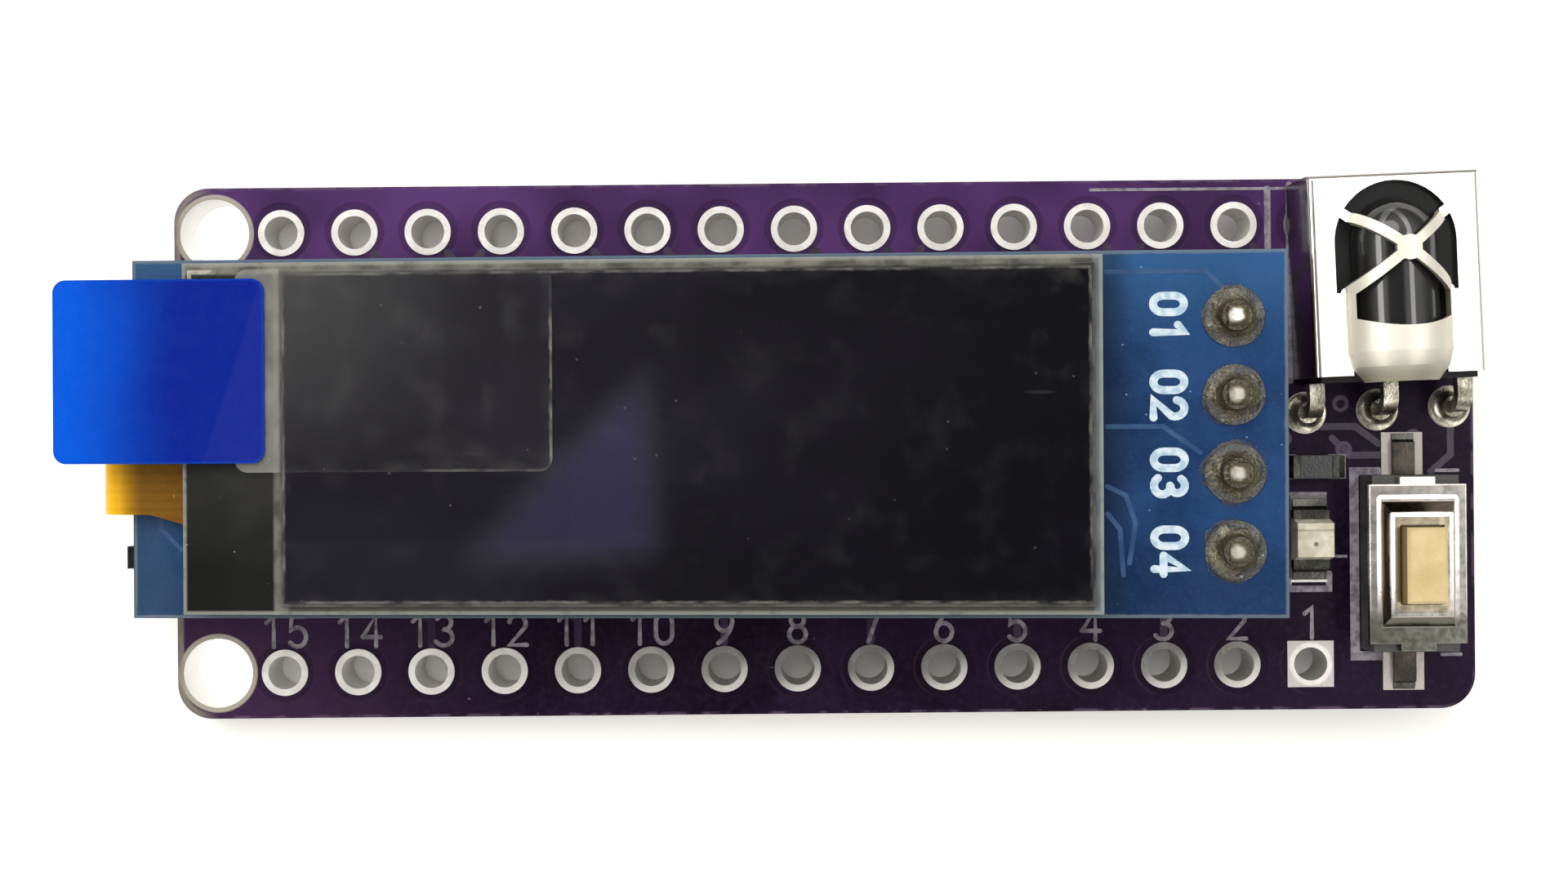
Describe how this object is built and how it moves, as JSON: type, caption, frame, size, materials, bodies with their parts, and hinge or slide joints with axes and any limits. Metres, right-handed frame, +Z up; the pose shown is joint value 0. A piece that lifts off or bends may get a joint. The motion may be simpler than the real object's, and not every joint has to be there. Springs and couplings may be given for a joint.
{
  "type": "oled display board",
  "caption": "Slim OLED display module on a pin header above a carrier board, with a shielded infrared receiver, a push button and a light.",
  "frame": {"origin": "centre of the two rows of pin holes, on the carrier board's underside", "axes": "+X along the rows towards the receiver's end, +Y towards the row beside the receiver, +Z up out of the display"},
  "size_m": [0.0478, 0.0184, 0.0078],
  "materials": {
    "carrier_mask": "glossy purple solder mask on glass-fibre board",
    "module_mask": "glossy blue solder mask on glass-fibre board",
    "tinned_pad": "tinned copper",
    "solder": "bright solder",
    "tinned_lead": "tinned lead",
    "tinplate": "bright tinplate",
    "steel_cover": "pressed steel",
    "white_tape": "foam tape",
    "dark_glass": "glass with dark layers behind it",
    "polariser": "dark glossy film",
    "clear_film": "thin clear film",
    "blue_film": "see-through blue film",
    "silicon": "bare chip",
    "amber_flex": "amber film",
    "black_epoxy": "moulded epoxy",
    "black_plastic": "moulded plastic",
    "cream_plastic": "moulded plastic",
    "white_plastic": "moulded plastic",
    "cream_resin": "cast resin",
    "tan_ceramic": "fired ceramic",
    "black_ceramic": "glazed ceramic"
  },
  "bodies": {
    "board": {"carrier_board": "carrier_mask", "header_hole_pads": "tinned_pad", "soldered_hole_pads": "tinned_pad", "component_pads": "tinned_pad", "module_board": "module_mask", "mounting_tape": "white_tape", "panel_cap_glass": "dark_glass", "panel_front_glass": "dark_glass", "polariser": "polariser", "protective_film": "clear_film", "pull_tab_tape": "clear_film", "pull_tab": "blue_film", "driver_chip": "silicon", "flex_tail": "amber_flex", "flex_contacts": "solder", "module_regulator": "black_epoxy", "module_regulator_leads": "tinned_lead", "module_capacitors": "tan_ceramic", "module_resistors": "black_ceramic", "module_chip_ends": "solder", "header_strip": "black_plastic", "header_pins": "tinned_lead", "header_solder_top": "solder", "header_solder_bottom": "solder", "ir_shield": "tinplate", "ir_body": "black_epoxy", "ir_leads": "tinned_lead", "ir_solder": "solder", "switch_base": "black_plastic", "switch_cover": "steel_cover", "switch_dome": "steel_cover", "switch_terminals": "tinned_lead", "led_base": "white_plastic", "led_lens": "cream_resin", "led_ends": "solder", "resistor_body": "black_ceramic", "resistor_ends": "solder", "surface_solder": "solder"},
    "button": {"switch_plunger": "cream_plastic"}
  },
  "joints": [
    {"name": "button_press", "type": "slide", "parent": "board", "child": "button", "axis": [0, 0, -1], "range_m": [0, 0.00025], "stiffness_N_per_m": 1000, "deforming": ["switch_dome"]}
  ]
}
